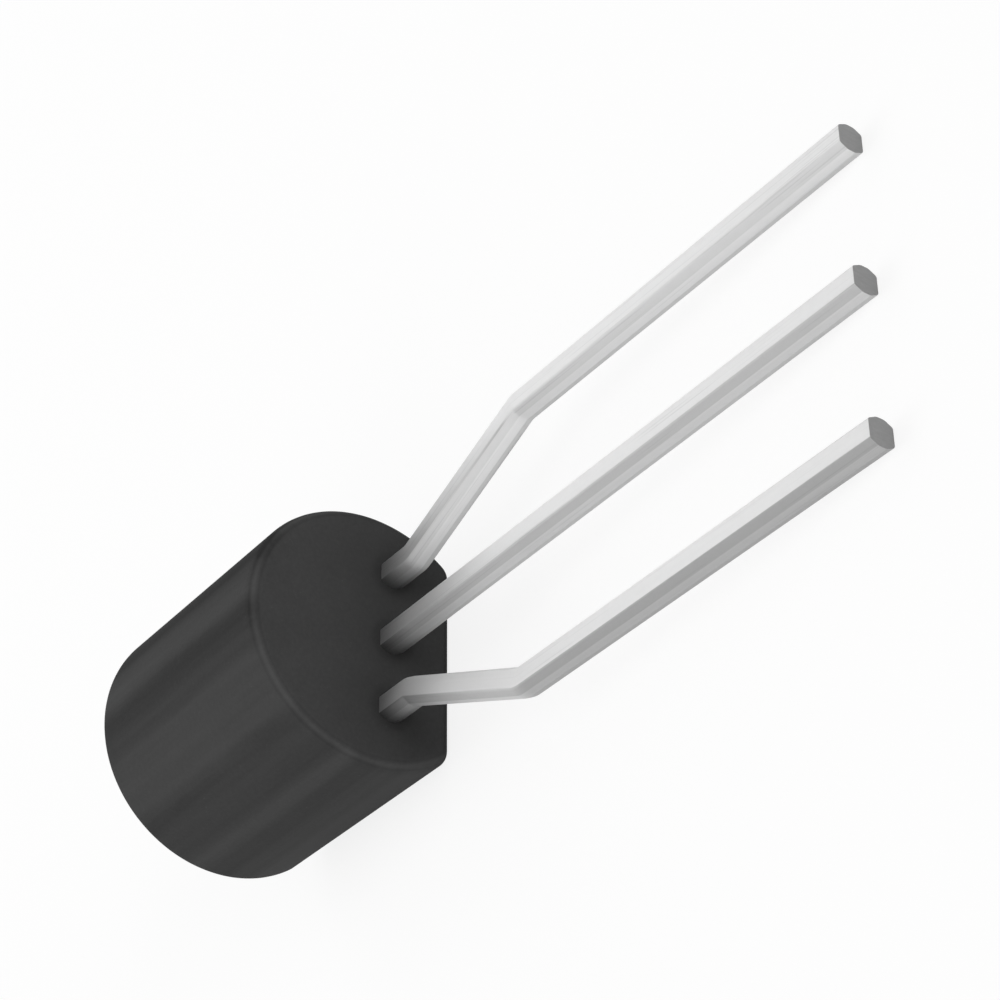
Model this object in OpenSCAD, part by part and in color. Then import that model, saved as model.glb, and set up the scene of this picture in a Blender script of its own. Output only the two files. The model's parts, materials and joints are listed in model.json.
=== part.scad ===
// Three-lead transistor in a TO-92 moulded package, with its side leads formed
// from the package's own pitch out to the wider pitch of a circuit board.
//
// Every piece is drawn in the component's own frame: X runs along the row of
// leads, Y points out of the flat, Z points up through the body, and the zero
// point is where the middle lead's axis leaves the seating face. lie_down()
// then turns all of them alike, so that the part lies on its flat with the cut
// ends of its leads touching the surface. All sizes are in millimetres.

/* [Moulded body] */
// Width of the body, which is the diameter of its round back
body_width = 4.74; // [4.4:0.01:5.2]
// Depth of the body from the round back to the flat
body_depth = 3.91; // [3.6:0.01:4.2]
// Height of the body from the seating face to the top
body_height = 4.97; // [4.6:0.01:5.4]
// Distance of the flat in front of the plane of the leads
flat_to_leads = 1.215; // [1.1:0.005:1.4]
// Radius of the two upright corners beside the flat
corner_r = 0.33; // [0.28:0.005:0.5]
// Radius of the rim round the seating face
lower_rim_r = 0.22; // [0.05:0.01:0.25]
// Radius of the rim round the top
upper_rim_r = 0.24; // [0.05:0.01:0.25]

/* [Leads] */
// Width of a lead along the row
lead_width = 0.47; // [0.4:0.01:0.5]
// Thickness of the strip that the leads are stamped from
lead_thickness = 0.44; // [0.38:0.01:0.48]
// How far the bevel on each long edge of a lead reaches in along the width
bevel_width = 0.075; // [0.02:0.005:0.12]
// How far that bevel reaches in along the thickness
bevel_depth = 0.15; // [0.02:0.01:0.17]
// Spacing of the leads where they leave the body
lead_pitch = 1.27; // [1.2:0.01:1.35]
// Spacing of the leads at their ends, once formed
formed_pitch = 2.54; // [2.2:0.01:2.6]
// Drop from the seating face to the corner of the first bend
first_bend = 0.7; // [0.5:0.05:1.2]
// Drop from the seating face to the corner of the second bend
second_bend = 3.7; // [3:0.05:5]
// Drop from the seating face to the cut ends of the leads
lead_reach = 11.62; // [8:0.01:15]
// Radius of each bend, at the middle of the lead
bend_r = 0.35; // [0.3:0.05:0.5]

/* [Lead frame inside the body] */
// Width of the paddle that carries the die
paddle_width = 1.8; // [1.2:0.05:2]
// Height of the paddle
paddle_height = 1.7; // [1.2:0.05:1.8]
// Height of the paddle's lower edge above the seating face
paddle_rise = 2.3; // [2.2:0.05:2.4]
// Width of the post on top of each side lead
post_width = 1; // [0.6:0.05:1.1]
// Height of a post
post_height = 0.7; // [0.5:0.05:0.7]
// Height of a post's lower edge above the seating face
post_rise = 1.3; // [1:0.05:1.4]
// Distance of the middle of a post from the middle lead's axis
post_reach = 1.05; // [1:0.01:1.2]
// Radius of the corners of the paddle and the posts
pad_corner_r = 0.12; // [0.05:0.01:0.2]

/* [Die] */
// Side of the square silicon die
die_side = 0.5; // [0.4:0.05:0.7]
// Thickness of the die
die_thickness = 0.2; // [0.15:0.01:0.3]
// Thickness of the conductive adhesive under the die
attach_thickness = 0.03; // [0.02:0.01:0.05]
// Width of the adhesive that shows round the die
attach_margin = 0.06; // [0.02:0.01:0.1]

/* [Bond wires] */
// Diameter of a bond wire
wire_d = 0.05; // [0.04:0.01:0.06]
// Distance of each bond pad from the middle of the die
pad_offset = 0.13; // [0.1:0.01:0.15]
// Diameter of the ball that welds a wire to the die
ball_d = 0.13; // [0.1:0.01:0.16]
// Thickness of the ball once pressed
ball_thickness = 0.04; // [0.03:0.01:0.05]
// Height of the straight neck over the die
neck_height = 0.14; // [0.1:0.01:0.2]
// Radius of the loop over the neck
loop_r = 0.16; // [0.1:0.01:0.2]
// Diameter of the foot that welds a wire to its post
foot_d = 0.14; // [0.1:0.01:0.2]
// Thickness of the foot
foot_thickness = 0.03; // [0.02:0.01:0.04]

/* [Hidden] */

// The side of the row that each outer lead stands on
emitter_side = -1;
base_side = 1;

// Facets: the body, the bends and pads of the leads, and the bond wires
body_fn = 128;
lead_fn = 48;
wire_fn = 24;

// Centre of the round back, behind the plane of the leads
barrel_r = body_width / 2;
barrel_y = flat_to_leads - (body_depth - barrel_r);
// Centre of the upright corner on the +X side, seen from the centre of the
// round back, so that the corner runs into both the back and the flat
corner_y = body_depth - barrel_r - corner_r;
corner = [sqrt(pow(barrel_r - corner_r, 2) - pow(corner_y, 2)), corner_y];
// How far the core of the body runs into the corners and the flat
core_lap = 0.02;

// Angle that a side lead leans at between its bends
form_angle = atan2(formed_pitch - lead_pitch, second_bend - first_bend);
// Length that a bend takes from each of the straights that it joins
bend_setback = bend_r * tan(form_angle / 2);
// Straights of a side lead, from the seating face down
shank_run = first_bend - bend_setback;
lean_run = (second_bend - first_bend) / cos(form_angle) - 2 * bend_setback;
tail_run = lead_reach - second_bend - bend_setback;

// Levels over the lead plane: the face of the lead frame, the adhesive, the die
frame_face = lead_thickness / 2;
die_seat = frame_face + attach_thickness;
die_top = die_seat + die_thickness;
paddle_mid = paddle_rise + paddle_height / 2;
post_mid = post_rise + post_height / 2;

// A bond wire seen side-on, from its ball on the die to its foot on the post
wire_dx = post_reach - pad_offset;
wire_dz = paddle_mid - post_mid;
wire_span = norm([wire_dx, wire_dz]);
wire_heading = atan2(wire_dz, wire_dx);
wire_drop = die_top - frame_face;
slope_span = wire_span - loop_r;
slope_fall = neck_height + wire_drop;
slope_angle = tangent_angle(slope_span, slope_fall, loop_r);
slope_length = sqrt(pow(slope_span, 2) + pow(slope_fall, 2) - pow(loop_r, 2));

// Tip of the lying part: from the rim beside the flat to the ends of the leads
lie_angle = tangent_angle(
    lead_reach + lower_rim_r,
    flat_to_leads - lower_rim_r - frame_face,
    lower_rim_r
);

// Angle below level of the line that leaves the top of a circle of radius r and
// passes through a point dx across from its centre and dy below it
function tangent_angle(dx, dy, r) = atan2(dy, dx) + asin(r / norm([dx, dy]));

// ---------- shared shapes ----------

// Lays a piece from the component's own frame on its flat, lead ends down
module lie_down() {
    rotate([lie_angle - 90, 0, 0]) children();
}

// Rectangle with round corners, centred
module rounded_rect(size, r) {
    square([size.x, size.y - 2 * r], center = true);
    square([size.x - 2 * r, size.y], center = true);
    for (sx = [-1, 1], sy = [-1, 1])
        translate([sx * (size.x / 2 - r), sy * (size.y / 2 - r)]) circle(r, $fn = lead_fn);
}

// ---------- moulded body ----------

// Upright section of the body from an inner edge out to its wall, rims rounded
module wall_section(reach) {
    difference() {
        square([reach, body_height]);
        translate([reach, 0]) rim_cut(lower_rim_r);
        translate([reach, body_height]) mirror([0, 1]) rim_cut(upper_rim_r);
    }
}

// What a rim of radius r takes off a square corner, which is at the zero point
module rim_cut(r) {
    difference() {
        translate([-r, -r]) square(2 * r);
        translate([-r, r]) circle(r, $fn = body_fn);
        translate([-2 * r, -r]) square([r, 2 * r]);
    }
}

// The D-shaped block: the wall turns round the back, turns tighter round each
// upright corner and runs straight across the flat, over a plain core
module body_block() {
    translate([0, barrel_y, 0]) {
        // Round back: all that lies behind the two lines out through the corners
        intersection() {
            rotate_extrude($fn = body_fn) wall_section(barrel_r);
            linear_extrude(body_height)
                polygon([[0, 0], 2 * corner, [2 * corner.x, -2 * barrel_r],
                    [-2 * corner.x, -2 * barrel_r], [-2 * corner.x, 2 * corner.y]]);
        }
        for (side = [0, 1])
            mirror([side, 0, 0]) {
                // Upright corner, between such a line and the end of the flat
                intersection() {
                    translate([corner.x, corner.y, 0])
                        rotate_extrude($fn = body_fn) wall_section(corner_r);
                    linear_extrude(body_height)
                        polygon([corner, 2 * corner, [corner.x, 2 * corner.y]]);
                }
                // Half of the flat
                rotate([90, 0, 90])
                    linear_extrude(corner.x)
                        translate([corner.y, 0]) wall_section(corner_r);
            }
        // Core, run a little way into all of these
        linear_extrude(body_height)
            polygon([[0, -barrel_r / 2], corner + [core_lap, core_lap],
                [-corner.x - core_lap, corner.y + core_lap]]);
    }
}

module epoxy_body() {
    color("#3c3c3e")
        lie_down()
            difference() {
                body_block();
                side_lead(emitter_side);
                side_lead(base_side);
                middle_lead();
                die_shape();
                attach_shape();
                wire_shape(emitter_side);
                wire_shape(base_side);
            }
}

// ---------- leads ----------

// Section across a lead: nearly square, with its long edges pressed to bevels
module lead_section() {
    half = [lead_width, lead_thickness] / 2;
    inner = half - [bevel_width, bevel_depth];
    polygon([
        [-inner.x, -half.y], [inner.x, -half.y], [half.x, -inner.y], [half.x, inner.y],
        [inner.x, half.y], [-inner.x, half.y], [-half.x, inner.y], [-half.x, -inner.y]
    ]);
}

// A straight length of lead, downwards; what follows carries on from its end
module run(length) {
    translate([0, 0, -length]) linear_extrude(length) lead_section();
    translate([0, 0, -length]) children();
}

// A bend in the plane of the leads, towards +X for a positive angle; what
// follows carries on from its end
module bend(angle) {
    side = sign(angle);
    translate([side * bend_r, 0, 0])
        rotate([90, 0, 0])
            rotate([0, 0, side > 0 ? 180 : -abs(angle)])
                rotate_extrude(angle = abs(angle), $fn = lead_fn)
                    translate([bend_r, 0]) lead_section();
    translate([side * bend_r, 0, 0])
        rotate([0, -angle, 0])
            translate([-side * bend_r, 0, 0]) children();
}

// A flat pad of the lead frame, standing in the plane of the leads
module frame_pad(width, height) {
    rotate([90, 0, 0])
        linear_extrude(lead_thickness, center = true)
            rounded_rect([width, height], pad_corner_r);
}

// The part of a lead that the body grips, up to the middle of its pad
module shank(height) {
    linear_extrude(height) lead_section();
}

// An outer lead with its two bends, and the post that its bond wire lands on
module side_lead(side) {
    mirror([side < 0 ? 1 : 0, 0, 0]) {
        translate([lead_pitch, 0, 0]) {
            shank(post_mid);
            run(shank_run) bend(form_angle) run(lean_run) bend(-form_angle) run(tail_run);
        }
        translate([post_reach, 0, post_mid]) frame_pad(post_width, post_height);
    }
}

// The straight middle lead, and the paddle that carries the die
module middle_lead() {
    shank(paddle_mid);
    run(lead_reach);
    translate([0, 0, paddle_mid]) frame_pad(paddle_width, paddle_height);
}

module emitter_lead() {
    color("#c9c9cb") lie_down() side_lead(emitter_side);
}

module collector_lead() {
    color("#c9c9cb") lie_down() middle_lead();
}

module base_lead() {
    color("#c9c9cb") lie_down() side_lead(base_side);
}

// ---------- die ----------

// A square slab that lies on the paddle, its lower face at the given level
module slab_on_paddle(side, level, thickness) {
    translate([-side / 2, level, paddle_mid - side / 2]) cube([side, thickness, side]);
}

module die_shape() {
    slab_on_paddle(die_side, die_seat, die_thickness);
}

module attach_shape() {
    slab_on_paddle(die_side + 2 * attach_margin, frame_face, attach_thickness);
}

module silicon_die() {
    color("#4a4d57") lie_down() die_shape();
}

module die_attach() {
    color("#b4b3ad") lie_down() attach_shape();
}

// ---------- bond wires ----------

// The wire drawn flat: X towards the post, Z away from the die, zero on the pad
module wire_loop() {
    cylinder(h = ball_thickness, d = ball_d, $fn = wire_fn);
    cylinder(h = neck_height, d = wire_d, $fn = wire_fn);
    translate([loop_r, 0, neck_height])
        rotate([90, 0, 0])
            rotate([0, 0, 90 - slope_angle])
                rotate_extrude(angle = 90 + slope_angle, $fn = 2 * wire_fn)
                    translate([loop_r, 0]) circle(d = wire_d, $fn = wire_fn);
    // The sloping run, trimmed off level with the face of the post
    difference() {
        translate([loop_r, 0, neck_height])
            rotate([0, slope_angle, 0])
                translate([0, 0, loop_r])
                    rotate([0, 90, 0])
                        cylinder(h = slope_length + wire_d, d = wire_d, $fn = wire_fn);
        translate([wire_span - 2 * foot_d, -foot_d, -wire_drop - foot_d])
            cube([4 * foot_d, 2 * foot_d, foot_d]);
    }
    translate([wire_span, 0, -wire_drop])
        cylinder(h = foot_thickness, d = foot_d, $fn = wire_fn);
}

// A wire in place, from its pad on the die down to the post on the given side
module wire_shape(side) {
    mirror([side < 0 ? 1 : 0, 0, 0])
        translate([pad_offset, die_top, paddle_mid])
            rotate([-90, 0, 0])
                rotate([0, 0, wire_heading]) wire_loop();
}

module emitter_bond_wire() {
    color("#d9a441") lie_down() wire_shape(emitter_side);
}

module base_bond_wire() {
    color("#d9a441") lie_down() wire_shape(base_side);
}

// ---------- output ----------

epoxy_body();
emitter_lead();
collector_lead();
base_lead();
silicon_die();
die_attach();
emitter_bond_wire();
base_bond_wire();
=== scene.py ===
"""Finished model of a three-lead transistor in a TO-92 moulded package.

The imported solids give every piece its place. This script models the moulded
body and the three leads again with finer surfaces, gives each piece its finish,
and sets up a plain studio. Pieces are modelled on a bench, in millimetres, in
the component's own frame: X runs along the row of leads, Y points out of the
flat and Z points up through the body. Bench.lay_down() then puts each one in
the row frame, in metres.
"""
import json
import logging
import math
from collections.abc import Callable, Iterator
from contextlib import contextmanager
from dataclasses import dataclass, field
from enum import Enum

import bmesh
import bpy
from mathutils import Matrix, Vector


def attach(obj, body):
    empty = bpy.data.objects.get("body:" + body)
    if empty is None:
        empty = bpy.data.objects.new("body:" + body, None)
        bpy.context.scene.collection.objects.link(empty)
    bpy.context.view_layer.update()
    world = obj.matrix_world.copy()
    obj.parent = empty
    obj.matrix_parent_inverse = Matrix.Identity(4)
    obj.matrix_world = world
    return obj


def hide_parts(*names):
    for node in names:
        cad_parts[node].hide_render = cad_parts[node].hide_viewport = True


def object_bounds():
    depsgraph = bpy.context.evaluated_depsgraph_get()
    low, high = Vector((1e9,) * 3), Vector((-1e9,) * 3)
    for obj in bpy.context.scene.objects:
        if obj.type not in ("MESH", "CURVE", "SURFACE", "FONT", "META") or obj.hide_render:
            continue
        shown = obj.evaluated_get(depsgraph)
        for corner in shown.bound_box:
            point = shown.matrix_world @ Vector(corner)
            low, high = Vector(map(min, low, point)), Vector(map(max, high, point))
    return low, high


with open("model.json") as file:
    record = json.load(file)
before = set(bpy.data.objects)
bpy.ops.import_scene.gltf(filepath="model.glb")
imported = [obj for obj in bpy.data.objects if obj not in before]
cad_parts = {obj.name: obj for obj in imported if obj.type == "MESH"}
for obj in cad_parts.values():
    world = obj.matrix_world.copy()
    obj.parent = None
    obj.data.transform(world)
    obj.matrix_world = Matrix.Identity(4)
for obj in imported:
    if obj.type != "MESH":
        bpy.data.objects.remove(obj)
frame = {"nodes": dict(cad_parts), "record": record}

log = logging.getLogger("transistor")

CAD_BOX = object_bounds()
MM = 0.001
LEAD_PITCH = 1.27

Colour = tuple[float, float, float]
Point = tuple[float, float, float]
Socket = bpy.types.NodeSocket


def lie_angle() -> float:
    """Angle that the lying part is tipped by, read from the axis of its top face.

    Returns:
        The tip in radians, lead ends down.
    """
    mounts = {mount["name"]: mount for mount in frame["record"]["mounts"]}
    _, along, up = mounts["top"]["axis"]
    return math.atan2(up, along)


# ---------------------------------------------------------------- bench


class Join(Enum):
    """What Bench.combine() does with the second solid."""

    ADD = "UNION"
    CUT = "DIFFERENCE"


class Bench:
    """Modelling steps on one object at a time, in millimetres."""

    SNAP_DIGITS = 5
    MERGE = 1e-5
    SLIVER = 2e-4
    NEAR = 1e-3
    SMOOTH_BELOW = math.radians(32)

    @staticmethod
    def only(piece: bpy.types.Object) -> None:
        """Makes one object the active one, and the only one that is selected.

        Args:
            piece: The object to work on next.
        """
        bpy.ops.object.select_all(action="DESELECT")
        piece.select_set(True)
        bpy.context.view_layer.objects.active = piece

    @staticmethod
    @contextmanager
    def editing(piece: bpy.types.Object) -> Iterator[None]:
        """Opens an object in edit mode with all of it selected.

        Args:
            piece: The object to edit.
        """
        Bench.only(piece)
        bpy.ops.object.mode_set(mode="EDIT")
        bpy.ops.mesh.select_all(action="SELECT")
        yield
        bpy.ops.object.mode_set(mode="OBJECT")

    @staticmethod
    def pick_edges(piece: bpy.types.Object, test: Callable[[Vector], bool]) -> None:
        """Selects, in edit mode, the edges with both ends where the test says.

        Args:
            piece: The object in edit mode.
            test: Takes a vertex's place and says whether it belongs.
        """
        bpy.ops.mesh.select_mode(type="EDGE")
        bpy.ops.mesh.select_all(action="DESELECT")
        mesh = bmesh.from_edit_mesh(piece.data)
        for edge in mesh.edges:
            edge.select_set(all(test(end.co) for end in edge.verts))
        mesh.select_flush_mode()
        bmesh.update_edit_mesh(piece.data)

    @staticmethod
    def plane(name: str, size: float, place: Point) -> bpy.types.Object:
        """Adds a level square with its place in its mesh.

        Args:
            name: Name of the new object.
            size: Length of its sides.
            place: Where its middle is.

        Returns:
            The new object.
        """
        bpy.ops.object.select_all(action="DESELECT")
        bpy.ops.mesh.primitive_plane_add(size=size, location=place)
        bpy.ops.object.transform_apply(location=True)
        piece = bpy.context.active_object
        piece.name = piece.data.name = name
        return piece

    @staticmethod
    def point(name: str, place: Point) -> bpy.types.Object:
        """Starts an outline from a single vertex.

        Args:
            name: Name of the new object.
            place: Where the vertex is.

        Returns:
            The new object.
        """
        piece = Bench.plane(name, 1, place)
        with Bench.editing(piece):
            bpy.ops.mesh.merge(type="CENTER")
        return piece

    @staticmethod
    def rounded_plate(name: str, size: tuple[float, float], radius: float,
                      steps: int) -> bpy.types.Object:
        """Makes a level rectangle with rounded corners, centred on the zero point.

        Args:
            name: Name of the new object.
            size: Its sides along X and Y.
            radius: Radius of its corners.
            steps: Segments in each corner.

        Returns:
            The new object, one face in all.
        """
        piece = Bench.plane(name, 1, (0, 0, 0))
        with Bench.editing(piece):
            bpy.ops.transform.resize(value=(*size, 1))
            bpy.ops.mesh.bevel(offset=radius, offset_type="OFFSET", segments=steps,
                               affect="VERTICES", profile=0.5)
        return piece

    @staticmethod
    def extrude(step: Point) -> None:
        """Extrudes what is selected in edit mode by a step."""
        bpy.ops.mesh.extrude_region_move(TRANSFORM_OT_translate={"value": step})

    @staticmethod
    def turn(angle: float, centre: Point, axis: Point, steps: int) -> None:
        """Spins what is selected in edit mode.

        Args:
            angle: Clockwise turn seen against the axis, in radians.
            centre: A point on the axis.
            axis: Direction of the axis.
            steps: Segments in the turn.
        """
        bpy.ops.mesh.spin(steps=steps, angle=angle, center=centre, axis=axis)

    @staticmethod
    def close(piece: bpy.types.Object) -> None:
        """Merges doubled vertices, snaps the rest to a fine grid and turns faces outwards.

        Args:
            piece: The object to close.
        """
        with Bench.editing(piece):
            bpy.ops.mesh.remove_doubles(threshold=Bench.MERGE)
            bpy.ops.mesh.normals_make_consistent(inside=False)
        for vertex in piece.data.vertices:
            vertex.co = [round(value, Bench.SNAP_DIGITS) for value in vertex.co]

    @staticmethod
    def combine(piece: bpy.types.Object, other: bpy.types.Object, how: Join) -> None:
        """Adds another solid to a piece or cuts it away.

        Args:
            piece: The object that changes.
            other: The solid to add or cut, used up.
            how: Whether it is added or cut.
        """
        Bench.only(piece)
        step = piece.modifiers.new("combine", "BOOLEAN")
        step.operation, step.solver, step.object = how.value, "EXACT", other
        bpy.ops.object.modifier_apply(modifier=step.name)
        bpy.data.objects.remove(other)

    @staticmethod
    def copy(piece: bpy.types.Object, name: str) -> bpy.types.Object:
        """Copies an object with its mesh.

        Args:
            piece: The object to copy.
            name: Name of the copy.

        Returns:
            The copy, free of any parent.
        """
        twin = bpy.data.objects.new(name, piece.data.copy())
        bpy.context.scene.collection.objects.link(twin)
        return twin

    @staticmethod
    def from_node(node: str, name: str, shift: Point) -> bpy.types.Object:
        """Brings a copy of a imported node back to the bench.

        Args:
            node: Name of the node.
            name: Name of the copy.
            shift: How far the copy is moved from its place, in the component's frame.

        Returns:
            The copy, merged, in millimetres in the component's frame.
        """
        twin = Bench.copy(frame["nodes"][node], name)
        Bench.only(twin)
        twin.rotation_euler.x = math.pi / 2 - lie_angle()
        twin.scale = (1 / MM,) * 3
        twin.location = shift
        bpy.ops.object.transform_apply(location=True, rotation=True, scale=True)
        with Bench.editing(twin):
            bpy.ops.mesh.remove_doubles(threshold=Bench.MERGE)
        return twin

    @staticmethod
    def lay_down(piece: bpy.types.Object) -> None:
        """Puts a finished piece in the row frame, in metres, with smooth faces.

        Args:
            piece: The object to finish.
        """
        Bench.only(piece)
        piece.rotation_euler.x = lie_angle() - math.pi / 2
        piece.scale = (MM,) * 3
        bpy.ops.object.transform_apply(location=True, rotation=True, scale=True)
        bpy.ops.object.shade_smooth_by_angle(angle=Bench.SMOOTH_BELOW)
        even = piece.modifiers.new("even", "WEIGHTED_NORMAL")
        even.keep_sharp = True
        bpy.ops.object.modifier_apply(modifier=even.name)


# ---------------------------------------------------------------- finishes


class Graph:
    """The nodes of one material, with a Principled shader at their end."""

    def __init__(self, name: str) -> None:
        """Starts a material.

        Args:
            name: Name of the material.
        """
        self.material = bpy.data.materials.new(name)
        self.material.use_nodes = True
        self.tree = self.material.node_tree
        self.shader = self.tree.nodes["Principled BSDF"]

    def add(self, kind: str, settings: dict[str, object] | None = None,
            **inputs: object) -> bpy.types.Node:
        """Adds a node.

        Args:
            kind: The node's type name, without "ShaderNode".
            settings: Its own properties.
            inputs: Its sockets by name, each a value or a socket to link from.

        Returns:
            The node.
        """
        node = self.tree.nodes.new("ShaderNode" + kind)
        for name, value in (settings or {}).items():
            setattr(node, name, value)
        for name, value in inputs.items():
            self.feed(node.inputs[name], value)
        return node

    def feed(self, socket: Socket, value: object) -> None:
        """Sets a socket, or links it.

        Args:
            socket: The socket to set.
            value: A plain value, or the output socket to link from.
        """
        if isinstance(value, Socket):
            self.tree.links.new(value, socket)
        else:
            socket.default_value = value

    def math(self, operation: str, *values: object) -> Socket:
        """Adds a step of arithmetic.

        Args:
            operation: The Math node's own name for it.
            values: What it works on, values or sockets.

        Returns:
            The result.
        """
        node = self.add("Math", {"operation": operation})
        for socket, value in zip(node.inputs, values):
            self.feed(socket, value)
        return node.outputs[0]

    def component_mm(self) -> Socket:
        """Gives places in the component's own frame.

        Returns:
            The places, in millimetres.
        """
        where = self.add("TexCoord").outputs["Object"]
        turned = self.add("Mapping", Vector=where, Scale=(1 / MM,) * 3,
                          Rotation=(math.pi / 2 - lie_angle(), 0, 0))
        return turned.outputs["Vector"]

    def noise(self, where: Socket, per_mm: Point, detail: float, shift: float = 0) -> Socket:
        """Adds a noise pattern.

        Args:
            where: Places in millimetres.
            per_mm: Bumps per millimetre along X, Y and Z.
            detail: Octaves of finer noise.
            shift: Where in the noise the pattern is taken from.

        Returns:
            The pattern, round 0.5.
        """
        place = self.add("Mapping", Vector=where, Scale=per_mm, Location=(shift,) * 3)
        node = self.add("TexNoise", {"noise_dimensions": "3D"}, Vector=place.outputs["Vector"],
                        Scale=1, Detail=detail, Roughness=0.55)
        return node.outputs["Fac"]

    def cells(self, where: Socket, per_mm: float, distance: bool = True) -> Socket:
        """Adds a pattern of grains.

        Args:
            where: Places in millimetres.
            per_mm: Grains per millimetre.
            distance: Whether to give each point's distance from its grain's middle,
                or else one random value for each grain.

        Returns:
            The pattern.
        """
        node = self.add("TexVoronoi", Vector=where, Scale=per_mm)
        if distance:
            return node.outputs["Distance"]
        return self.add("SeparateColor", Color=node.outputs["Color"]).outputs["Red"]

    def between(self, value: Socket, start: float, end: float, low: float = 0,
                high: float = 1, smooth: bool = True) -> Socket:
        """Spreads a range of values over another.

        Args:
            value: What to spread.
            start: The value that becomes low.
            end: The value that becomes high.
            low: The lower result.
            high: The upper result.
            smooth: Whether both ends ease in, or the slope is even.

        Returns:
            The result, which stays between low and high.
        """
        slope = "SMOOTHSTEP" if smooth else "LINEAR"
        node = self.add("MapRange", {"interpolation_type": slope}, Value=value)
        for name, number in zip(("From Min", "From Max", "To Min", "To Max"),
                                (start, end, low, high)):
            node.inputs[name].default_value = number
        return node.outputs["Result"]

    def sum(self, first: object, second: object, amount: float = 1) -> Socket:
        """Adds one value, times an amount, to another.

        Args:
            first: The value to add to.
            second: The value to add.
            amount: What the second one is multiplied by.

        Returns:
            The sum.
        """
        return self.math("MULTIPLY_ADD", second, amount, first)

    def around(self, middle: object, *parts: tuple[Socket, float]) -> Socket:
        """Stirs a value to both sides of where it lies.

        Args:
            middle: The value.
            parts: Patterns round 0.5, each with the width that it stirs the value over.

        Returns:
            The stirred value.
        """
        stirred = self.math("ADD", middle, -sum(width for _, width in parts) / 2)
        for pattern, width in parts:
            stirred = self.sum(stirred, pattern, width)
        return stirred

    def times(self, first: object, second: object) -> Socket:
        """Multiplies two values.

        Args:
            first: One value.
            second: The other.

        Returns:
            Their product.
        """
        return self.math("MULTIPLY", first, second)

    def length(self, first: object, second: object) -> Socket:
        """Measures the long side over two steps at right angles.

        Args:
            first: One step.
            second: The other.

        Returns:
            The length.
        """
        return self.math("SQRT", self.sum(self.times(first, first), self.times(second, second)))

    def band(self, value: Socket, start: float, end: float, soft: float) -> Socket:
        """Picks out a range of values.

        Args:
            value: What to look at.
            start: The lower side of the range.
            end: The upper side.
            soft: How far each side fades either way.

        Returns:
            1 inside the range and 0 outside.
        """
        return self.times(self.between(value, start - soft, start + soft),
                          self.between(value, end + soft, end - soft))

    def tint(self, factor: Socket, low: object, high: object) -> Socket:
        """Mixes two colours.

        Args:
            factor: 0 gives the first colour and 1 the second.
            low: A colour, or a socket that gives one.
            high: The other.

        Returns:
            The mixed colour.
        """
        node = self.add("Mix", {"data_type": "RGBA"})
        self.feed(node.inputs["Factor"], factor)
        ends = [socket for socket in node.inputs if socket.type == "RGBA"]
        for socket, colour in zip(ends, (low, high)):
            self.feed(socket, (*colour, 1) if isinstance(colour, tuple) else colour)
        return next(out for out in node.outputs if out.type == "RGBA")

    def relief(self, height: Socket, depth_mm: float) -> Socket:
        """Turns a height pattern into bumps.

        Args:
            height: The pattern.
            depth_mm: Height of the bumps.

        Returns:
            The bent normal.
        """
        return self.add("Bump", Height=height, Strength=1.0,
                        Distance=depth_mm * MM).outputs["Normal"]

    def finish(self, **inputs: object) -> bpy.types.Material:
        """Sets the shader's sockets.

        Args:
            inputs: Values or sockets by the shader's socket names, with _ for a space.

        Returns:
            The material.
        """
        for name, value in inputs.items():
            self.feed(self.shader.inputs[name.replace("_", " ")], value)
        return self.material


@dataclass(frozen=True)
class Mark:
    """A soft band that is lighter or darker than what it lies on."""

    start: float
    end: float
    tone: float
    soft: float = 5.0

    @staticmethod
    def draw(graph: Graph, measure: Socket, marks: tuple["Mark", ...]) -> Socket:
        """Draws bands.

        Args:
            graph: The material that they are in.
            measure: What the bands' two sides are values of.
            marks: The bands.

        Returns:
            How much lighter each place is.
        """
        shade = 0.0
        for mark in marks:
            band = graph.band(measure, mark.start, mark.end, mark.soft)
            shade = graph.sum(shade, band, mark.tone)
        return shade


@dataclass(frozen=True)
class ExitShade:
    """Painted shade round a hole, placed by millimetres from the hole's middle."""

    start: float
    reach: float
    strength: float


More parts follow.
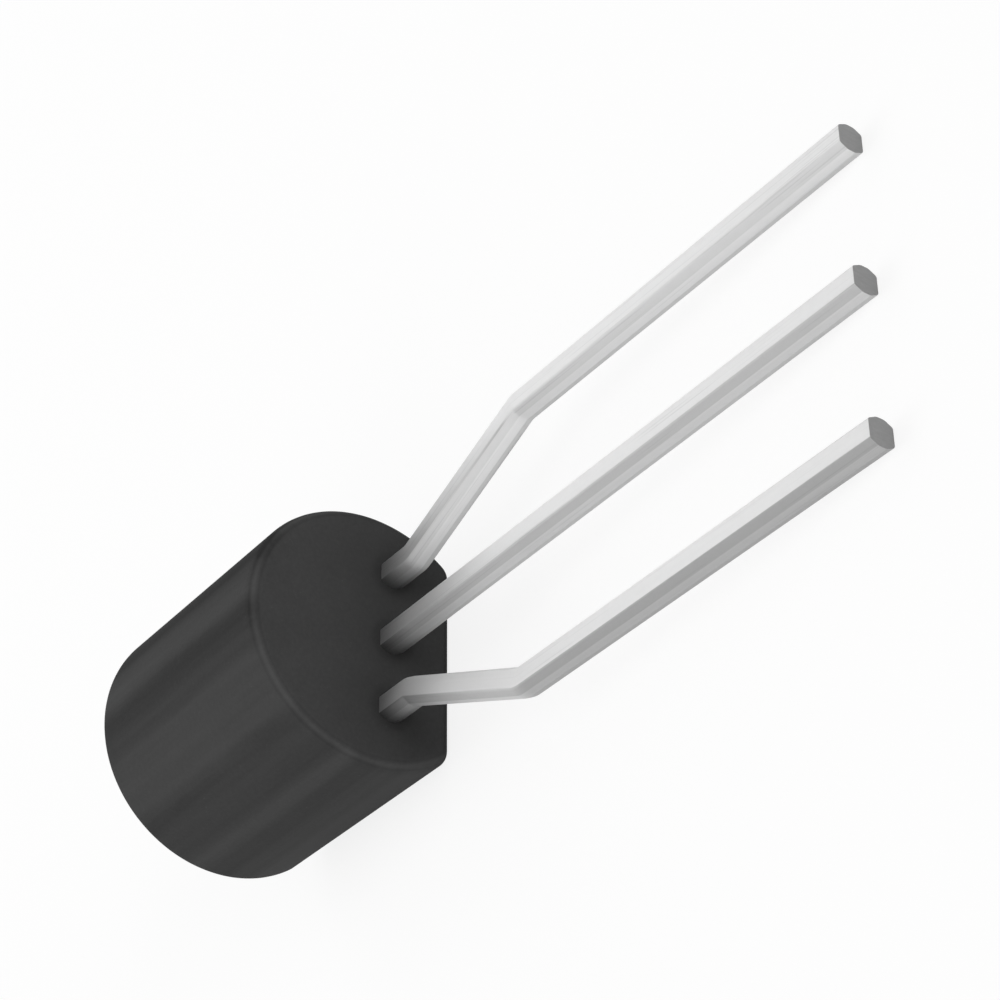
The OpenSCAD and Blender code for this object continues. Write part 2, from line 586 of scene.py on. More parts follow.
@dataclass(frozen=True)
class EpoxyCompound:
    """Charcoal moulding compound with the fine matt texture of its mould.

    Painted sheen and shade bands run down the barrel. They are placed by the angle round
    the barrel in degrees, 0 on the crest of the back and upwards towards +X. The rim bands, a
    painted highlight with painted shade on either side, run round both fillets: they are
    placed by how far round the fillet they lie, -1 at the side, 1 at the end face. Painted
    shade spreads on the end face from the holes that the leads come out of.
    """

    dark: Colour = (0.040, 0.040, 0.040)
    light: Colour = (0.092, 0.092, 0.092)
    filler: Colour = (0.12, 0.12, 0.118)
    # Painted shade round the lead exits: its colour, its rings and the levels it fades out
    # between.
    exit_shade_colour: Colour = (0.030, 0.030, 0.030)
    exit_shades: tuple[ExitShade, ...] = (ExitShade(0.2, 1.9, 0.32), ExitShade(0.24, 0.5, 0.3))
    exit_shade_levels: tuple[float, float] = (0.3, 0.1)
    roughness: float = 0.7
    gloss: float = 0.005
    relief: float = 0.0018
    shade: float = 0.46
    clouding: float = 0.26
    drawing: float = 0.1
    graining: float = 0.3
    flecking: float = 0.45
    fleck_size: tuple[float, float] = (0.16, 0.08)
    clouds_per_mm: Point = (0.7, 0.7, 0.35)
    drawn_per_mm: Point = (3.5, 3.5, 0.1)
    grains_per_mm: Point = (16, 16, 16)
    flecks_per_mm: float = 14
    pits_per_mm: float = 22
    barrel_edge: float = 0.02
    wander: float = 10.0
    streaks: float = 0.42
    # Painted sheen and shade bands down the barrel.
    painted_sheen_bands: tuple[Mark, ...] = (
        Mark(-130, -107, 0.30),
        Mark(-130, -95, 0.16, 3.0),
        Mark(-83, -76, 0.25, 3.0),
        Mark(-60, -53, -0.18, 3.0),
        Mark(-49, -24, 0.24, 3.0),
        Mark(-130, -16, 0.12),
        Mark(-10, -3, -0.20, 3.0),
        Mark(0, 12, 0.30, 4.0),
        Mark(19, 34, -0.52),
        Mark(46, 66, 0.10),
        Mark(84, 92, -0.14, 3.0),
        Mark(100, 126, 0.24, 4.0),
    )
    # Painted highlight round the rims, with painted shade on either side.
    rims: tuple[Mark, ...] = (
        Mark(-0.475, -0.225, -0.16, 0.125),
        Mark(-0.075, 0.275, 0.22, 0.125),
        Mark(0.475, 0.725, -0.16, 0.125),
    )

    def painted_sheen(self, graph: Graph, x: Socket, inward: Socket, cloud: Socket) -> Socket:
        """Paints the sheen and shade bands down the barrel.

        Args:
            graph: The material.
            x: Distance from the middle of the body along the row of leads.
            inward: Distance from the barrel's axis towards the crest of the back.
            cloud: A broad noise that makes the marks wander.

        Returns:
            How much lighter each place is.
        """
        angle = graph.math("DEGREES", graph.math("ARCTAN2", x, inward))
        return Mark.draw(graph, graph.around(angle, (cloud, self.wander)), self.painted_sheen_bands)

    def paint_rim_highlight(self, graph: Graph, beyond_side: Socket, z: Socket, body: "MouldedBody") -> Socket:
        """Paints a highlight round both rims, with shade on either side.

        Args:
            graph: The material.
            beyond_side: Distance outwards from where the fillets meet the end faces.
            z: Level up the body.
            body: The body with its sizes.

        Returns:
            How much lighter each place is.
        """
        rim = body.lower_rim
        depth = graph.math("MINIMUM", z, graph.math("SUBTRACT", body.height, z))
        turned = graph.math("SUBTRACT", graph.math("SUBTRACT", rim, depth), beyond_side)
        return Mark.draw(graph, graph.math("DIVIDE", turned, rim), self.rims)

    def exit_shade(self, graph: Graph, x: Socket, y: Socket, z: Socket, body: "MouldedBody") -> Socket:
        """Paints shade on the end face round the holes for the leads.

        Args:
            graph: The material.
            x: Distance from the middle lead along the row.
            y: Distance from the row.
            z: Level up the body.
            body: The body with its sizes.

        Returns:
            How strong the painted shade is.
        """
        across = graph.math("ABSOLUTE", x)
        across = graph.math("MINIMUM", across,
                            graph.math("ABSOLUTE", graph.sum(across, -body.pitch)))
        gap = graph.length(across, y)
        strength = 0.0
        for exit_shade in self.exit_shades:
            spread = graph.between(gap, exit_shade.reach, exit_shade.start, 0, exit_shade.strength)
            strength = graph.sum(strength, spread)
        return graph.times(strength, graph.between(z, *self.exit_shade_levels))

    def material(self, body: "MouldedBody") -> bpy.types.Material:
        """Builds the material.

        Args:
            body: The body with its sizes, which place the marks.

        Returns:
            The material.
        """
        graph = Graph("moulding_compound")
        where = graph.component_mm()
        x, y, z = graph.add("SeparateXYZ", Vector=where).outputs
        cloud = graph.noise(where, self.clouds_per_mm, 3)
        drawn = graph.noise(where, self.drawn_per_mm, 3, shift=4.1)
        grain = graph.noise(where, self.grains_per_mm, 4, shift=1.7)
        fleck = graph.between(graph.cells(where, self.flecks_per_mm), *self.fleck_size)
        pits = graph.cells(where, self.pits_per_mm)
        inward = graph.math("SUBTRACT", body.barrel_y, y)
        radius = graph.length(x, inward)
        painted_sheen = graph.around(self.painted_sheen(graph, x, inward, cloud), (drawn, self.streaks))
        rim_starts = body.width / 2 - body.lower_rim
        on_barrel = graph.between(radius, rim_starts, body.width / 2 - self.barrel_edge)
        beyond_side = graph.math("MAXIMUM", graph.sum(radius, -rim_starts),
                                 graph.sum(y, body.lower_rim - body.flat_to_leads))
        shade = graph.around(self.shade, (cloud, self.clouding), (drawn, self.drawing),
                             (grain, self.graining))
        # Painted sheen and shade bands on the barrel, and a painted highlight and shade round the
        # rims.
        shade = graph.sum(shade, graph.times(painted_sheen, on_barrel))
        shade = graph.sum(shade, self.paint_rim_highlight(graph, beyond_side, z, body))
        colour = graph.tint(shade, self.dark, self.light)
        colour = graph.tint(graph.times(fleck, graph.between(grain, 0.5, 0.7, 0, self.flecking)),
                            colour, self.filler)
        # Painted shade round the holes for the leads.
        colour = graph.tint(self.exit_shade(graph, x, y, z, body), colour, self.exit_shade_colour)
        rough = graph.around(self.roughness, (drawn, 0.12), (grain, 0.06))
        height = graph.sum(graph.sum(grain, drawn, 0.35), pits, 0.3)
        return graph.finish(Base_Color=colour, Roughness=rough, Specular_IOR_Level=self.gloss,
                            Normal=graph.relief(height, self.relief))


@dataclass(frozen=True)
class TinnedStrip:
    """Satin tin plating over stamped strip, with sheared flanks and ends.

    The tones are shares of the plating's colour that paint light and shade by which way a
    face points: face for the rolled faces, lean_flank and tail_flank for the flank on the -X
    side, between the bends and below them. Over is a further share where that flank turns
    up, and under a share of painted shade where any face turns down. The side edges lose a
    further share to painted shade between the bends. Painted shade fades out along the lead
    from the body, with root as a further share of painted shade close to the body. A turn is
    a part of a face's normal. Levels are in millimetres, the seating face at 0.
    """

    bright: Colour = (0.98, 0.98, 0.98)
    dull: Colour = (0.91, 0.91, 0.91)
    sheared: Colour = (0.275, 0.275, 0.275)
    torn: Colour = (0.34375, 0.34375, 0.34375)
    # Tones that paint light and shade by which way a face points, and along the side edges.
    face: float = 0.795
    lean_flank: float = 0.85
    tail_flank: float = 0.85
    over: float = 0.77
    under: float = 0.87
    painted_edge_shade: float = 0.0
    flank_turn: tuple[float, float] = (-0.2, -0.45)
    over_turn: tuple[float, float] = (0.2, 0.35)
    under_turn: tuple[float, float] = (-0.2, -0.4)
    line_turns: tuple[Point, Point] = ((-0.7, -0.25, 0.12), (-0.85, -0.55, 0.1))
    # Painted shade near the body, fading out along the lead, with root darker still close to it.
    painted_body_shade: float = 0.46
    painted_shade_reach: float = -3.5
    flank_painted_shade_reach: float = -3.0
    painted_shade_top: float = 0.4
    root: float = 0.41
    flank_root: float = 0.08
    root_reach: float = -0.9
    root_top: float = 0.2
    bend_fade: float = 0.2
    scratched: float = 0.90
    scratches: tuple[float, float] = (0.62, 0.72)
    cut_depth: tuple[float, float] = (0.012, 0.004)
    drawn_per_mm: Point = (13, 13, 0.22)
    broad_per_mm: Point = (3.5, 3.5, 0.1)
    mottle_per_mm: Point = (9, 9, 7)
    scratches_per_mm: Point = (30, 30, 0.3)
    tears_per_mm: Point = (24, 5, 24)
    grains_per_mm: float = 26
    relief: float = 0.0012
    side: int = 0
    roughness: float = 0.6
    metallic: float = 0.3

    def painted_shade_by_body(self, graph: Graph, along: Socket, reach: float, root: float) -> Socket:
        """Darkens a face by painted shade near the body.

        Args:
            graph: The material.
            along: Level in the component's frame, in millimetres.
            reach: Level that the painted shade fades out at.
            root: The face's tone where the painted shade is darkest.

        Returns:
            The tone that the painted shade leaves.
        """
        return graph.times(graph.between(along, reach, self.painted_shade_top, 1, self.painted_body_shade),
                           graph.between(along, self.root_reach, self.root_top, 1, root))

    def tone(self, graph: Graph, along: Socket, leads: "LeadFrame") -> Socket:
        """Paints light and shade into the plating at each place.

        Args:
            graph: The material.
            along: Level in the component's frame, in millimetres.
            leads: The leads with their sizes.

        Returns:
            The tone, a share of the plating's colour.
        """
        normal = graph.add("TexCoord").outputs["Normal"]
        facing = graph.add("SeparateXYZ", Vector=normal)
        sideways, up = facing.outputs["X"], facing.outputs["Z"]
        # Painted shade near the body on the faces and flanks, and the flanks' own painted tones.
        face = graph.times(self.painted_shade_by_body(graph, along, self.painted_shade_reach, self.root), self.face)
        tail, fade = -leads.second_bend, self.bend_fade
        flank = graph.times(
            self.painted_shade_by_body(graph, along, self.flank_painted_shade_reach, self.flank_root),
            graph.between(along, tail + fade, tail - fade, self.lean_flank, self.tail_flank))
        flank = graph.times(flank, graph.between(up, *self.over_turn, 1, self.over))
        tone = graph.sum(face, graph.math("SUBTRACT", flank, face),
                         graph.between(sideways, *self.flank_turn))
        # Painted shade along the side edges between the bends, and where a face turns down.
        line_sideways, line_up = self.line_turns
        edge = graph.sum(graph.band(sideways, *line_sideways), graph.band(up, *line_up))
        lean = graph.times(graph.between(along, -leads.first_bend, tail),
                           graph.between(along, tail, tail + leads.bend_radius))
        tone = graph.times(tone, graph.sum(1.0, graph.times(edge, lean), -self.painted_edge_shade))
        return graph.times(tone, graph.between(up, *self.under_turn, 1, self.under))

    def straightened(self, graph: Graph, where: Socket, leads: "LeadFrame") -> Socket:
        """Takes the forming of the lead out of places, so that streaks follow the strip.

        Args:
            graph: The material.
            where: Places in millimetres.
            leads: The leads with their sizes.

        Returns:
            The places as they were before the lead was formed.
        """
        along = graph.add("SeparateXYZ", Vector=where).outputs["Z"]
        shift = -self.side * (leads.formed_pitch - leads.pitch)
        back = graph.between(along, -leads.first_bend, -leads.second_bend, 0, shift,
                             smooth=False)
        node = graph.add("VectorMath", {"operation": "ADD"})
        graph.feed(node.inputs[0], where)
        graph.feed(node.inputs[1], graph.add("CombineXYZ", X=back).outputs["Vector"])
        return node.outputs["Vector"]

    def material(self, leads: "LeadFrame") -> bpy.types.Material:
        """Builds the material.

        Args:
            leads: The leads with their sizes, which place the tones.

        Returns:
            The material.
        """
        graph = Graph("tinned_strip")
        where = self.straightened(graph, graph.component_mm(), leads)
        along = graph.add("SeparateXYZ", Vector=where).outputs["Z"]
        drawn = graph.noise(where, self.drawn_per_mm, 3)
        broad = graph.noise(where, self.broad_per_mm, 2, shift=2.3)
        mottle = graph.noise(where, self.mottle_per_mm, 4, shift=5.2)
        scratches = graph.noise(where, self.scratches_per_mm, 1, shift=8.8)
        tears = graph.noise(where, self.tears_per_mm, 4, shift=7.7)
        grains = graph.cells(where, self.grains_per_mm, distance=False)
        plating = graph.tint(graph.around(0.5, (drawn, 0.8), (broad, 0.6), (mottle, 0.3)),
                             self.dull, self.bright)
        # The tone paints light and shade into the plating, mixing it towards black.
        tone = graph.times(self.tone(graph, along, leads),
                           graph.between(scratches, *self.scratches, 1, self.scratched))
        plating = graph.tint(tone, (0.0, 0.0, 0.0), plating)
        cut = graph.between(along, *(depth - leads.reach for depth in self.cut_depth))
        core = graph.tint(tears, self.sheared, self.torn)
        rough = graph.around(self.roughness, (drawn, 0.12), (grains, 0.08))
        rough = graph.sum(rough, cut, 0.2)
        height = graph.sum(graph.sum(drawn, grains, 0.12), graph.times(tears, cut), 2.0)
        return graph.finish(Base_Color=graph.tint(cut, plating, core), Metallic=self.metallic,
                            Roughness=rough, Normal=graph.relief(height, self.relief))


@dataclass(frozen=True)
class SawnSilicon:
    """Silicon with a metallised top and sawn sides."""

    field: Colour = (0.10, 0.11, 0.14)
    metal: Colour = (0.55, 0.55, 0.53)
    saw_per_mm: Point = (4, 60, 4)
    haze_per_mm: Point = (8, 8, 8)
    hazed: tuple[float, float] = (0.35, 0.75)
    haze: float = 0.5
    roughness: float = 0.12
    relief: float = 0.0006

    def material(self) -> bpy.types.Material:
        """Builds the material.

        Returns:
            The material.
        """
        graph = Graph("silicon")
        where = graph.component_mm()
        saw = graph.noise(where, self.saw_per_mm, 3)
        haze = graph.between(graph.noise(where, self.haze_per_mm, 3, shift=3.3),
                             *self.hazed, 0, self.haze)
        return graph.finish(Base_Color=graph.tint(haze, self.field, self.metal), Metallic=0.6,
                            Roughness=graph.sum(self.roughness, saw, 0.3),
                            Normal=graph.relief(saw, self.relief))


@dataclass(frozen=True)
class SilverAdhesive:
    """Cured conductive adhesive, full of silver flakes."""

    resin: Colour = (0.36, 0.35, 0.32)
    flake: Colour = (0.74, 0.73, 0.70)
    flakes_per_mm: float = 60
    lumps_per_mm: Point = (20, 20, 20)
    roughness: float = 0.35
    relief: float = 0.002

    def material(self) -> bpy.types.Material:
        """Builds the material.

        Returns:
            The material.
        """
        graph = Graph("silver_adhesive")
        where = graph.component_mm()
        flakes = graph.cells(where, self.flakes_per_mm, distance=False)
        lumps = graph.noise(where, self.lumps_per_mm, 3)
        return graph.finish(Base_Color=graph.tint(flakes, self.resin, self.flake), Metallic=0.5,
                            Roughness=graph.sum(self.roughness, flakes, 0.25),
                            Normal=graph.relief(lumps, self.relief))


@dataclass(frozen=True)
class GoldWire:
    """Drawn gold."""

    pale: Colour = (0.95, 0.72, 0.34)
    deep: Colour = (0.83, 0.56, 0.20)
    drawn_per_mm: Point = (40, 40, 40)
    roughness: float = 0.14
    relief: float = 0.0004

    def material(self) -> bpy.types.Material:
        """Builds the material.

        Returns:
            The material.
        """
        graph = Graph("gold_wire")
        drawn = graph.noise(graph.component_mm(), self.drawn_per_mm, 3)
        return graph.finish(Base_Color=graph.tint(drawn, self.deep, self.pale), Metallic=1.0,
                            Roughness=graph.sum(self.roughness, drawn, 0.16),
                            Normal=graph.relief(drawn, self.relief))


def dress(piece: bpy.types.Object, material: bpy.types.Material) -> None:
    """Gives a piece one material all over.

    Args:
        piece: The piece.
        material: Its finish.
    """
    piece.data.materials.clear()
    piece.data.materials.append(material)


def hand_over(piece: bpy.types.Object, node: str) -> None:
    """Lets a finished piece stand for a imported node.

    Args:
        piece: The piece.
        node: The node that it stands for.
    """
    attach(piece, "root")
    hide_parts(node)
    log.info("%s stands for %s: %d faces", piece.name, node, len(piece.data.polygons))


# ---------------------------------------------------------------- leads


class Lead(Enum):
    """The three leads, each with the side of the row that it stands on."""

    EMITTER = -1
    COLLECTOR = 0
    BASE = 1

    @property
    def node(self) -> str:
        """Name of the lead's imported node."""
        return f"{self.name.lower()}_lead"


@dataclass
class LeadFrame:
    """The stamped leads, the side ones formed to a wider pitch, with their pads."""

    width: float = 0.47
    thickness: float = 0.44
    bevel: tuple[float, float] = (0.075, 0.15)
    edge_radius: float = 0.03
    edge_steps: int = 3
    pitch: float = LEAD_PITCH
    formed_pitch: float = 2.54
    first_bend: float = 0.7
    second_bend: float = 3.7
    reach: float = 11.62
    bend_radius: float = 0.35
    bend_steps: int = 14
    paddle: tuple[float, float] = (1.8, 1.7)
    paddle_mid: float = 3.15
    post: tuple[float, float] = (1.0, 0.7)
    post_mid: float = 1.65
    post_reach: float = 1.05
    pad_corner: float = 0.12
    pad_steps: int = 7
    tip_edge: float = 0.012
    tip_steps: int = 2
    # Each lead's own tones paint the light and shade on it: how light its flanks are and how far
    # the painted shade from the body reaches.
    finishes: dict[Lead, TinnedStrip] = field(default_factory=lambda: {
        Lead.EMITTER: TinnedStrip(side=-1, painted_shade_reach=-2.2, flank_painted_shade_reach=-3.4,
                                  lean_flank=0.76, tail_flank=0.58),
        Lead.COLLECTOR: TinnedStrip(lean_flank=0.82, tail_flank=0.80),
        Lead.BASE: TinnedStrip(side=1, painted_shade_reach=-4.2, flank_painted_shade_reach=-1.8,
                               lean_flank=1.0, tail_flank=0.94,
                               over=0.82, under=0.80, painted_edge_shade=0.3),
    })

    @property
    def form_angle(self) -> float:
        """Angle that a side lead leans at between its bends."""
        return math.atan2(self.formed_pitch - self.pitch, self.second_bend - self.first_bend)

    def section(self, name: str) -> bpy.types.Object:
        """Draws the section of a lead: a rectangle with four bevelled corners.

        It is drawn squeezed, so that one even bevel becomes the uneven one when the
        section is let out to its thickness.

        Args:
            name: Name of the new object.

        Returns:
            The section, level and centred on the zero point.
        """
        reach_in, reach_down = self.bevel
        squeeze = reach_in / reach_down
        piece = Bench.rounded_plate(name, (self.width, self.thickness * squeeze), reach_in, 1)
        with Bench.editing(piece):
            bpy.ops.transform.resize(value=(1, 1 / squeeze, 1))
            bpy.ops.mesh.bevel(offset=self.edge_radius, offset_type="OFFSET",
                               segments=self.edge_steps, affect="VERTICES", profile=0.5)
        return piece

    def strip(self, lead: Lead) -> bpy.types.Object:
        """Draws a lead from the middle of its pad down to its cut end.

        Args:
            lead: Which lead.

        Returns:
            The closed strip.
        """
        side = lead.value
        start = self.post_mid if side else self.paddle_mid
        piece = self.section(f"{lead.name.lower()}_strip")
        with Bench.editing(piece):
            bpy.ops.transform.translate(value=(side * self.pitch, 0, start))
            if side:
                self.form(side, start)
            else:
                Bench.extrude((0, 0, -start - self.reach))
        Bench.close(piece)
        self.ease_tip(piece)
        return piece

    def form(self, side: int, start: float) -> None:
        """Extrudes and bends the selected section of a side lead down to its end.

        Args:
            side: -1 or 1, the side of the row.
            start: Level of the section.
        """
        angle = self.form_angle
        setback = self.bend_radius * math.tan(angle / 2)
        lean = (self.second_bend - self.first_bend) / math.cos(angle) - 2 * setback
        tail = self.reach - self.second_bend - setback
        bent_x, bent_z = setback * math.sin(angle), setback * math.cos(angle)
        axis = (0, 1, 0)
        Bench.extrude((0, 0, -start - self.first_bend + setback))
        Bench.turn(side * angle,
                   (side * (self.pitch + self.bend_radius), 0, setback - self.first_bend),
                   axis, self.bend_steps)
        Bench.extrude((side * lean * math.sin(angle), 0, -lean * math.cos(angle)))
        Bench.turn(-side * angle,
                   (side * (self.formed_pitch - bent_x - self.bend_radius * math.cos(angle)), 0,
                    bent_z - self.second_bend - self.bend_radius * math.sin(angle)),
                   axis, self.bend_steps)
        Bench.extrude((0, 0, -tail))

    def ease_tip(self, piece: bpy.types.Object) -> None:
        """Takes the sharpness off the edge round a lead's cut end.

        Args:
            piece: The closed strip.
        """
        with Bench.editing(piece):
            Bench.pick_edges(piece, lambda at: at.z < self.tip_edge - self.reach)
            bpy.ops.mesh.bevel(offset=self.tip_edge, offset_type="OFFSET",
                               segments=self.tip_steps, affect="EDGES", profile=0.5)

    def pad(self, lead: Lead) -> bpy.types.Object:
        """Makes the paddle or post at the top of a lead.

        Args:
            lead: Which lead.

        Returns:
            The closed pad, standing in the plane of the leads.
        """
        size = self.post if lead.value else self.paddle
        middle = ((lead.value * self.post_reach, 0, self.post_mid) if lead.value
                  else (0, 0, self.paddle_mid))
        piece = Bench.rounded_plate(f"{lead.name.lower()}_pad", size, self.pad_corner,
                                    self.pad_steps)
        with Bench.editing(piece):
            bpy.ops.transform.translate(value=(0, 0, -self.thickness / 2))
            Bench.extrude((0, 0, self.thickness))
        piece.rotation_euler.x = math.pi / 2
        piece.location = middle
        Bench.only(piece)
        bpy.ops.object.transform_apply(location=True, rotation=True)
        Bench.close(piece)
        return piece

    def build(self) -> dict[Lead, bpy.types.Object]:
        """Models the three leads.

        Returns:
            Each lead's piece, still on the bench.
        """
        pieces = {}
        for lead in Lead:
            piece = self.strip(lead)
            Bench.combine(piece, self.pad(lead), Join.ADD)
            piece.name = piece.data.name = f"{lead.name.lower()}_lead_strip"
            pieces[lead] = piece
        return pieces

    def dress(self, pieces: dict[Lead, bpy.types.Object]) -> None:
        """Lays the leads in place with their finish.

        Args:
            pieces: Each lead's piece from build().
        """
        for lead, piece in pieces.items():
            Bench.lay_down(piece)
            dress(piece, self.finishes[lead].material(self))
            hand_over(piece, lead.node)


# ---------------------------------------------------------------- die and wires


@dataclass
class DieAssembly:
    """The die, its adhesive and its bond wires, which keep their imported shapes."""

    press: Point = (0, -0.003, 0)
    finishes: dict[str, object] = field(default_factory=lambda: {
        "silicon_die": SawnSilicon(),
        "die_attach": SilverAdhesive(),
        "emitter_bond_wire": GoldWire(),
        "base_bond_wire": GoldWire(),
    })

    def cutters(self) -> list[bpy.types.Object]:
        """Copies the nodes as solids for the body to close round.

        Each is pressed a hair towards the lead plane, so that no film of compound
        is left between it and what it sits on.

        Returns:
            The copies, on the bench.
        """
        return [Bench.from_node(node, f"{node}_cutter", self.press) for node in self.finishes]

    def dress(self) -> None:
        """Gives the nodes their finishes."""
        for node, finish in self.finishes.items():
            piece = frame["nodes"][node]
            Bench.only(piece)
            bpy.ops.object.shade_smooth_by_angle(angle=Bench.SMOOTH_BELOW)
            dress(piece, finish.material())
            log.info("%s keeps its packed shape", node)


# ---------------------------------------------------------------- body


@dataclass
class MouldedBody:
    """The D-shaped body, moulded round the lead frame."""

    width: float = 4.74
    depth: float = 3.91
    height: float = 4.97
    flat_to_leads: float = 1.215
    corner_radius: float = 0.33
    lower_rim: float = 0.22
    upper_rim: float = 0.24
    back_steps: int = 200
    corner_steps: int = 12
    rim_steps: int = 10
    pitch: float = LEAD_PITCH
    finish: EpoxyCompound = field(default_factory=EpoxyCompound)

    @property
    def barrel_y(self) -> float:
        """Y of the axis of the round back."""
        return self.flat_to_leads - (self.depth - self.width / 2)

    def outline(self) -> bpy.types.Object:
        """Draws the D round the seating face: half the flat, a corner, the back, and so on.

        Returns:
            The outline, filled with one face.
        """
        radius = self.width / 2
        middle = self.barrel_y
        rise = self.depth - radius - self.corner_radius
        corner_x = math.sqrt((radius - self.corner_radius) ** 2 - rise ** 2)
        corner_y = middle + rise
        lift = math.atan2(rise, corner_x)
        axis = (0, 0, 1)
        piece = Bench.point("moulded_body", (0, self.flat_to_leads, 0))
        with Bench.editing(piece):
            Bench.extrude((corner_x, 0, 0))
            Bench.turn(math.pi / 2 - lift, (corner_x, corner_y, 0), axis, self.corner_steps)
            Bench.turn(math.pi + 2 * lift, (0, middle, 0), axis, self.back_steps)
            Bench.turn(math.pi / 2 - lift, (-corner_x, corner_y, 0), axis, self.corner_steps)
            bpy.ops.mesh.select_all(action="SELECT")
            bpy.ops.mesh.edge_face_add()
        return piece

    def block(self) -> bpy.types.Object:
        """Raises the outline to the full height and rounds both rims.

        Returns:
            The closed block.
        """
        piece = self.outline()
        with Bench.editing(piece):
            Bench.extrude((0, 0, self.height))
        Bench.close(piece)
        rims = ((self.lower_rim, lambda at: at.z < Bench.NEAR),
                (self.upper_rim, lambda at: at.z > self.height - Bench.NEAR))
        for rim, at_rim in rims:
            with Bench.editing(piece):
                Bench.pick_edges(piece, at_rim)
                bpy.ops.mesh.bevel(offset=rim, offset_type="OFFSET", segments=self.rim_steps,
                                   affect="EDGES", profile=0.5)
        Bench.close(piece)
        return piece

    def build(self, held: list[bpy.types.Object]) -> bpy.types.Object:
        """Models the body round what it holds.

        Args:
            held: Solids that it is moulded round, used up.

        Returns:
            The body, still on the bench.
        """
        piece = self.block()
        for solid in held:
            Bench.combine(piece, solid, Join.CUT)
        with Bench.editing(piece):
            bpy.ops.mesh.dissolve_degenerate(threshold=Bench.SLIVER)
        return piece

    def dress(self, piece: bpy.types.Object) -> None:
        """Lays the body in place with its finish.

        Args:
            piece: The body from build().
        """
        Bench.lay_down(piece)
        dress(piece, self.finish.material(self))
        hand_over(piece, "epoxy_body")


# ---------------------------------------------------------------- studio


@dataclass(frozen=True)
class Softbox:
    """A soft rectangular lamp that faces the part, with its sizes in metres."""

    name: str
    towards: Point
    radiance: float
    size: tuple[float, float] = (0.45, 0.45)
    distance: float = 0.6

    def build(self, middle: Vector) -> None:
        """Hangs the lamp.

        Args:
            middle: The middle of the part.
        """
        width, height = self.size
        lamp = bpy.data.lights.new(self.name, "AREA")
        lamp.shape, lamp.size, lamp.size_y = "RECTANGLE", width, height
        lamp.energy = math.pi * width * height * self.radiance
        rig = bpy.data.objects.new(self.name, lamp)
        bpy.context.scene.collection.objects.link(rig)
        out = Vector(self.towards).normalized()
        rig.location = middle + out * self.distance
        rig.rotation_mode = "QUATERNION"
        rig.rotation_quaternion = out.to_track_quat("Z", "Y")


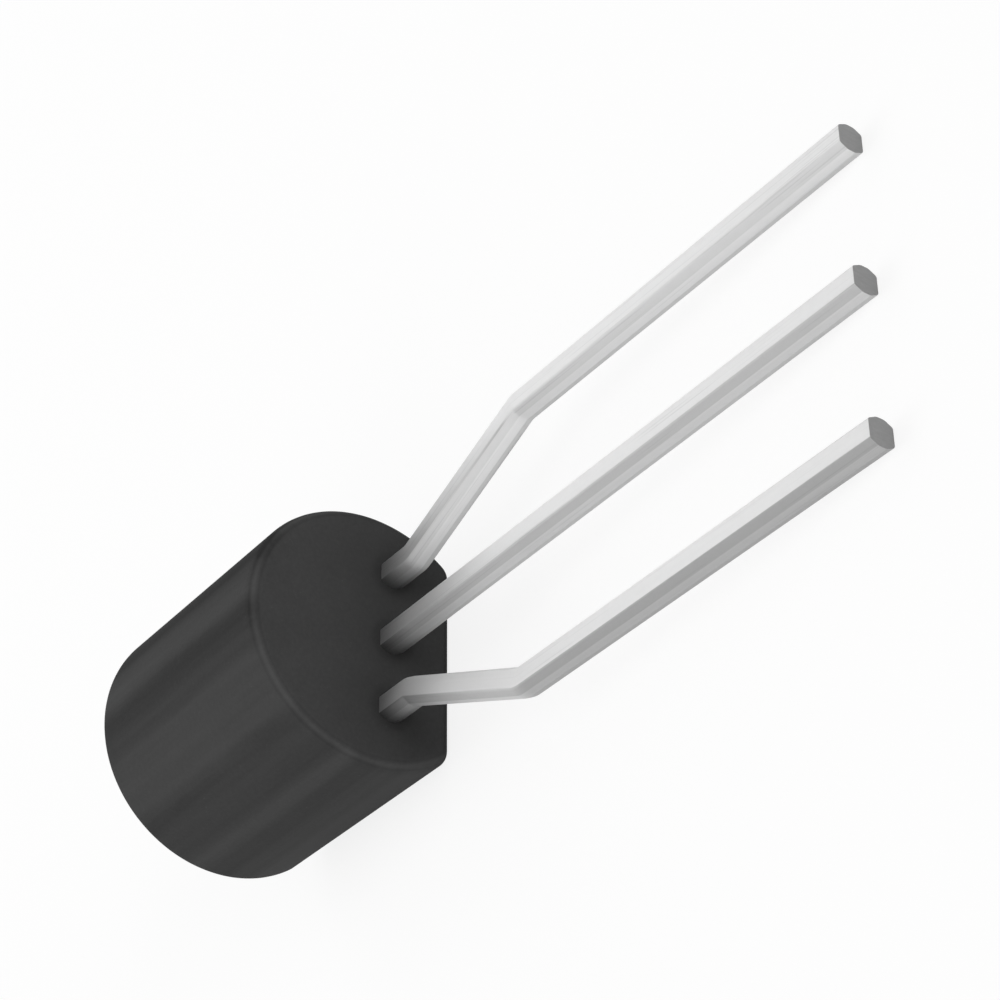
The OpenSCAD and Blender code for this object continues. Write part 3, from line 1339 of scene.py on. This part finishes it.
@dataclass
class Studio:
    """A pale floor under soft light, with its sizes in metres."""

    ambient: float = 0.3
    floor_side: float = 1.2
    floor_colour: Colour = (0.80, 0.80, 0.80)
    seen_floor: Colour = (0.20, 0.20, 0.20)
    seen_glow: float = 0.84
    lamps: tuple[Softbox, ...] = (
        Softbox("back_right", (0.62, 0.68, 0.39), 1.7, (0.40, 0.40)),
        Softbox("back", (-0.10, 0.76, 0.64), 1.6),
        Softbox("overhead", (0.0, 0.0, 1.0), 0.4),
        Softbox("front", (0.0, -0.978, 0.208), 2.5),
        Softbox("left", (-0.95, 0.0, 0.31), 1.0),
    )

    @staticmethod
    def seen(tree: bpy.types.NodeTree) -> Socket:
        """Tells what is seen, straight or in a reflection, from what only gives light.

        Args:
            tree: The nodes that need to know.

        Returns:
            1 for a ray from the camera, off gloss or through glass, and 0 for others.
        """
        path = tree.nodes.new("ShaderNodeLightPath")
        found = path.outputs["Is Camera Ray"]
        for kind in ("Is Glossy Ray", "Is Transmission Ray"):
            either = tree.nodes.new("ShaderNodeMath")
            either.operation = "MAXIMUM"
            tree.links.new(found, either.inputs[0])
            tree.links.new(path.outputs[kind], either.inputs[1])
            found = either.outputs[0]
        return found

    def world(self) -> None:
        """Sets an even sky that is seen as white."""
        world = bpy.data.worlds.new("studio")
        bpy.context.scene.world = world
        world.use_nodes = True
        nodes, links = world.node_tree.nodes, world.node_tree.links
        strength = nodes.new("ShaderNodeMapRange")
        links.new(self.seen(world.node_tree), strength.inputs["Value"])
        strength.inputs["To Min"].default_value = self.ambient
        strength.inputs["To Max"].default_value = 1.0
        sky = nodes["Background"]
        sky.inputs["Color"].default_value = (1, 1, 1, 1)
        links.new(strength.outputs["Result"], sky.inputs["Strength"])

    def floor(self, level: float) -> None:
        """Lays the floor, which is seen as nearly white with the part's shadow on it.

        Args:
            level: Height of the surface that the part lies on.
        """
        ground = Bench.plane("floor", self.floor_side, (0, 0, level))
        graph = Graph("floor")
        graph.tree.nodes.remove(graph.shader)
        plain = graph.add("BsdfDiffuse", Color=(*self.floor_colour, 1))
        matt = graph.add("BsdfDiffuse", Color=(*self.seen_floor, 1))
        glow = graph.add("Emission", Strength=self.seen_glow)
        lit = graph.add("AddShader")
        mix = graph.add("MixShader", Fac=self.seen(graph.tree))
        graph.feed(lit.inputs[0], matt.outputs["BSDF"])
        graph.feed(lit.inputs[1], glow.outputs["Emission"])
        graph.feed(mix.inputs[1], plain.outputs["BSDF"])
        graph.feed(mix.inputs[2], lit.outputs["Shader"])
        graph.feed(graph.tree.nodes["Material Output"].inputs["Surface"], mix.outputs["Shader"])
        dress(ground, graph.material)

    def build(self) -> None:
        """Sets up the world, the floor and the lamps."""
        low, high = CAD_BOX
        self.world()
        self.floor(low.z)
        for lamp in self.lamps:
            lamp.build((low + high) / 2)
        bpy.context.scene.view_settings.view_transform = "Standard"


@dataclass(frozen=True)
class Viewpoint:
    """The camera, in millimetres and degrees."""

    place: Point = (-23.459, -34.4649, 18.6865)
    target: Point = (0.39, -3.9746, 0.2876)
    roll: float = -72.0961
    lens: float = 100.0
    sensor: float = 36.0
    nearest: float = 1
    farthest: float = 2000

    def build(self) -> None:
        """Sets up the camera."""
        data = bpy.data.cameras.new("camera")
        data.lens, data.sensor_width = self.lens, self.sensor
        data.clip_start, data.clip_end = self.nearest * MM, self.farthest * MM
        camera = bpy.data.objects.new("camera", data)
        bpy.context.scene.collection.objects.link(camera)
        away = Vector(self.place) - Vector(self.target)
        level = away.to_track_quat("Z", "Y").to_matrix()
        turn = Matrix.Rotation(math.radians(self.roll), 3, "Z")
        camera.location = Vector(self.place) * MM
        camera.rotation_mode = "QUATERNION"
        camera.rotation_quaternion = (level @ turn).to_quaternion()
        bpy.context.scene.camera = camera


def main() -> None:
    """Builds the part and the studio."""
    logging.basicConfig(level=logging.INFO, format="%(name)s: %(message)s")
    leads = LeadFrame()
    strips = leads.build()
    die = DieAssembly()
    held = [Bench.copy(piece, f"{piece.name}_cutter") for piece in strips.values()]
    body = MouldedBody()
    shell = body.build(held + die.cutters())
    leads.dress(strips)
    die.dress()
    body.dress(shell)
    Studio().build()
    Viewpoint().build()


if __name__ == "__main__":
    main()
